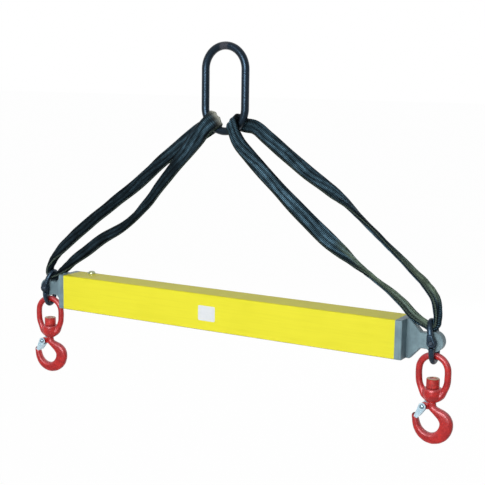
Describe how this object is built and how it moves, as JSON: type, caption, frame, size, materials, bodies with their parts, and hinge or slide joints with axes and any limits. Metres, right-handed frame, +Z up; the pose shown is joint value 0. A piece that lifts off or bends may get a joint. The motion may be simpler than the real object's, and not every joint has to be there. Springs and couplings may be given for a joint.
{
  "type": "spreader beam",
  "caption": "Composite lifting spreader beam hung from an oblong master link by two roundslings, with a swivel safety hook on a coupling link under each end.",
  "frame": {"origin": "the point on the inside top of the master link where the crane hook bears", "axes": "+X along the beam towards the right-hand hook, +Y to the back (the front face with the label is -Y), +Z up"},
  "size_m": [0.9941, 0.0644, 0.7364],
  "materials": {
    "link_paint": "dark blue-black paint on forged alloy steel",
    "beam_composite": "yellow pultruded fibreglass, satin",
    "label": "blank white vinyl",
    "zinc_steel": "bright zinc plate",
    "sling_cover": "black ribbed woven polyester",
    "sling_yarn": "polyester yarn hank",
    "fitting_aluminium": "machined aluminium, blue-grey",
    "coupling_paint": "dark blue-black paint on forged alloy steel",
    "pin_steel": "hardened steel",
    "hook_paint": "red paint on forged steel",
    "nut_paint": "red paint, bare worn top"
  },
  "bodies": {
    "root": {"master_link": "link_paint"},
    "rigging": {"sling_cover_left": "sling_cover", "sling_cover_right": "sling_cover", "sling_core_left": "sling_yarn", "sling_core_right": "sling_yarn", "beam_tube": "beam_composite", "blank_label": "label", "round_screw": "zinc_steel", "end_plate_left": "fitting_aluminium", "lug_left": "fitting_aluminium", "spigot_left": "fitting_aluminium", "fitting_screws_left": "zinc_steel", "coupling_upper_left": "coupling_paint", "load_pin_left": "pin_steel", "load_pin_lock_left": "pin_steel", "end_plate_right": "fitting_aluminium", "lug_right": "fitting_aluminium", "spigot_right": "fitting_aluminium", "fitting_screws_right": "zinc_steel", "coupling_upper_right": "coupling_paint", "load_pin_right": "pin_steel", "load_pin_lock_right": "pin_steel"},
    "coupling_lower_left_body": {"coupling_lower_left": "coupling_paint"},
    "bail_left_body": {"swivel_bail_left": "hook_paint"},
    "hook_left_body": {"hook_left": "hook_paint", "swivel_nut_left": "nut_paint", "nut_pin_left": "pin_steel", "latch_bolt_left": "zinc_steel", "latch_nut_left": "zinc_steel"},
    "latch_left_body": {"latch_left": "zinc_steel", "latch_spring_left": "pin_steel"},
    "coupling_lower_right_body": {"coupling_lower_right": "coupling_paint"},
    "bail_right_body": {"swivel_bail_right": "hook_paint"},
    "hook_right_body": {"hook_right": "hook_paint", "swivel_nut_right": "nut_paint", "nut_pin_right": "pin_steel", "latch_bolt_right": "zinc_steel", "latch_nut_right": "zinc_steel"},
    "latch_right_body": {"latch_right": "zinc_steel", "latch_spring_right": "pin_steel"}
  },
  "joints": [
    {"name": "link_tip", "type": "hinge", "parent": "root", "child": "rigging", "pos_m": [0, 0, -0.10988], "axis": [1, 0, 0], "range_deg": [-30, 30], "deforming": ["sling_cover_left", "sling_cover_right", "sling_core_left", "sling_core_right"]},
    {"name": "coupling_swing_left", "type": "hinge", "parent": "rigging", "child": "coupling_lower_left_body", "pos_m": [-0.4572, 0, -0.526], "axis": [0, 1, 0], "range_deg": [-8, 60]},
    {"name": "bail_rock_left", "type": "hinge", "parent": "coupling_lower_left_body", "child": "bail_left_body", "pos_m": [-0.4572, 0, -0.55245], "axis": [0.9877, 0.1564, 0], "range_deg": [-45, 45]},
    {"name": "hook_swivel_left", "type": "hinge", "parent": "bail_left_body", "child": "hook_left_body", "pos_m": [-0.4572, 0, -0.626], "axis": [0, 0, 1], "continuous": true},
    {"name": "latch_open_left", "type": "hinge", "parent": "hook_left_body", "child": "latch_left_body", "pos_m": [-0.473, -0.0025, -0.65], "axis": [0.1564, -0.9877, 0], "range_deg": [0, 40], "stiffness_Nm_per_rad": 0.12, "springref_deg": -28.65},
    {"name": "coupling_swing_right", "type": "hinge", "parent": "rigging", "child": "coupling_lower_right_body", "pos_m": [0.4572, 0, -0.526], "axis": [0, 1, 0], "range_deg": [-60, 8]},
    {"name": "bail_rock_right", "type": "hinge", "parent": "coupling_lower_right_body", "child": "bail_right_body", "pos_m": [0.4572, 0, -0.55245], "axis": [1, 0, 0], "range_deg": [-45, 45]},
    {"name": "hook_swivel_right", "type": "hinge", "parent": "bail_right_body", "child": "hook_right_body", "pos_m": [0.4572, 0, -0.626], "axis": [0, 0, 1], "continuous": true},
    {"name": "latch_open_right", "type": "hinge", "parent": "hook_right_body", "child": "latch_right_body", "pos_m": [0.4412, 0, -0.65], "axis": [0, -1, 0], "range_deg": [0, 40], "stiffness_Nm_per_rad": 0.12, "springref_deg": -28.65}
  ]
}
